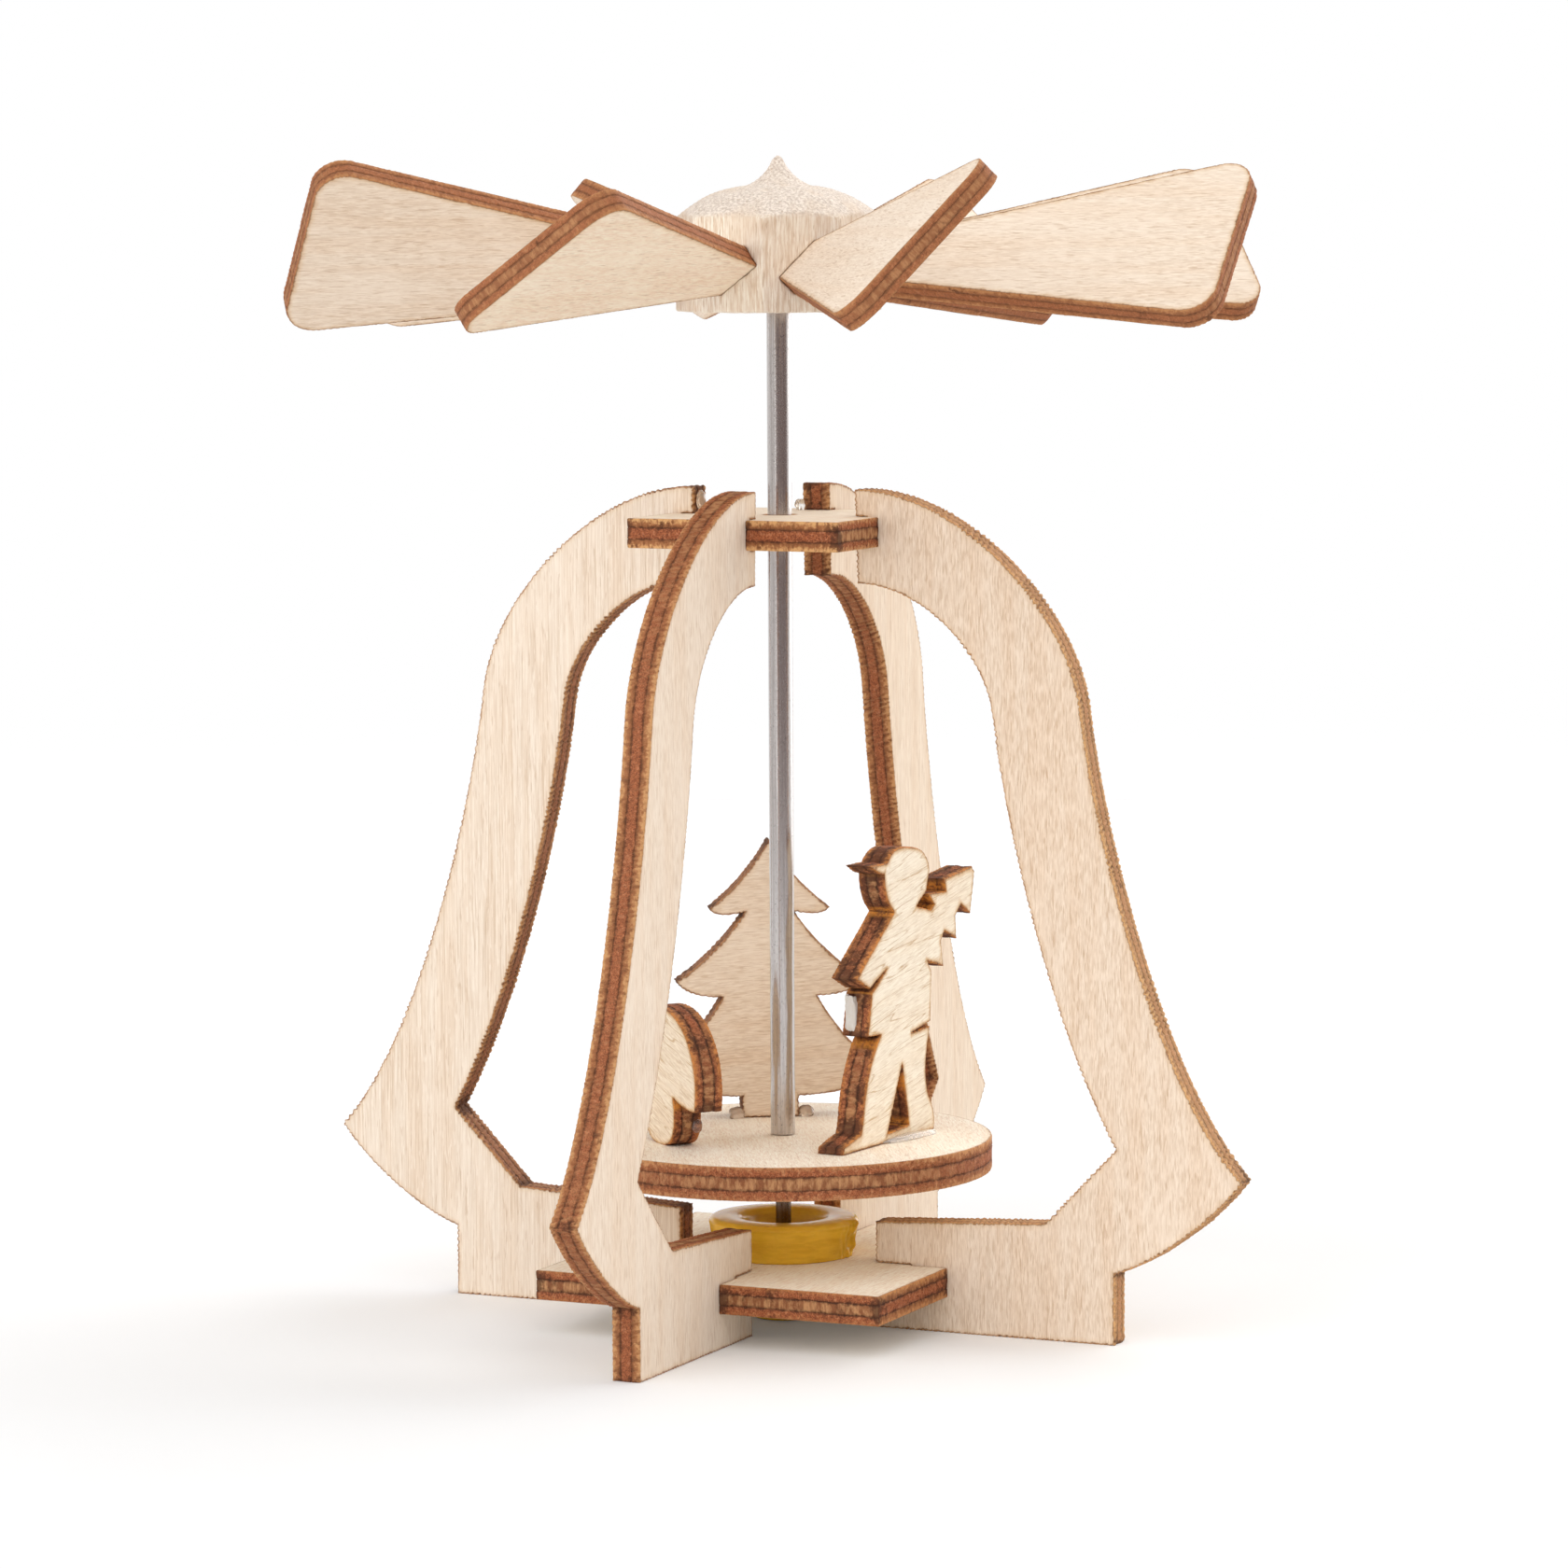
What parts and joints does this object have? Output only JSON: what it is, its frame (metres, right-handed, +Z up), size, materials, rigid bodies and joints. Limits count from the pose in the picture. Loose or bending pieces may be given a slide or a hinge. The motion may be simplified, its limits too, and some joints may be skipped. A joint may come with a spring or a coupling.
{
  "type": "christmas pyramid",
  "caption": "Small table-top plywood christmas pyramid: bell-shaped arms carry a steel shaft with a disc of figures that spins under slanted rotor blades.",
  "frame": {"origin": "on the table under the shaft axis, in the middle of the four feet", "axes": "+Z up along the shaft, +X along the right arm, -Y along the front arm"},
  "size_m": [0.1012, 0.1012, 0.1191],
  "materials": {
    "plywood": "raw sanded birch plywood with scorched laser-cut edges",
    "carved_wood": "raw turned and sawn softwood",
    "cup_plastic": "glossy mustard moulded plastic",
    "steel": "drawn bare steel rod"
  },
  "bodies": {
    "frame": {"arm_front": "plywood", "arm_right": "plywood", "arm_back": "plywood", "arm_left": "plywood", "top_plate": "plywood", "base_plate": "plywood", "bearing_cup": "cup_plastic"},
    "rotor": {"shaft": "steel", "turntable": "plywood", "tree_figure": "plywood", "woodcutter_figure": "plywood", "mushroom_figure": "plywood", "rotor_hub": "carved_wood", "blade_1": "plywood", "blade_2": "plywood", "blade_3": "plywood", "blade_4": "plywood", "blade_5": "plywood", "blade_6": "plywood", "blade_7": "plywood", "blade_8": "plywood"}
  },
  "joints": [
    {"name": "rotor_spin", "type": "hinge", "parent": "frame", "child": "rotor", "pos_m": [0, 0, 0.0793], "axis": [0, 0, 1], "continuous": true}
  ]
}
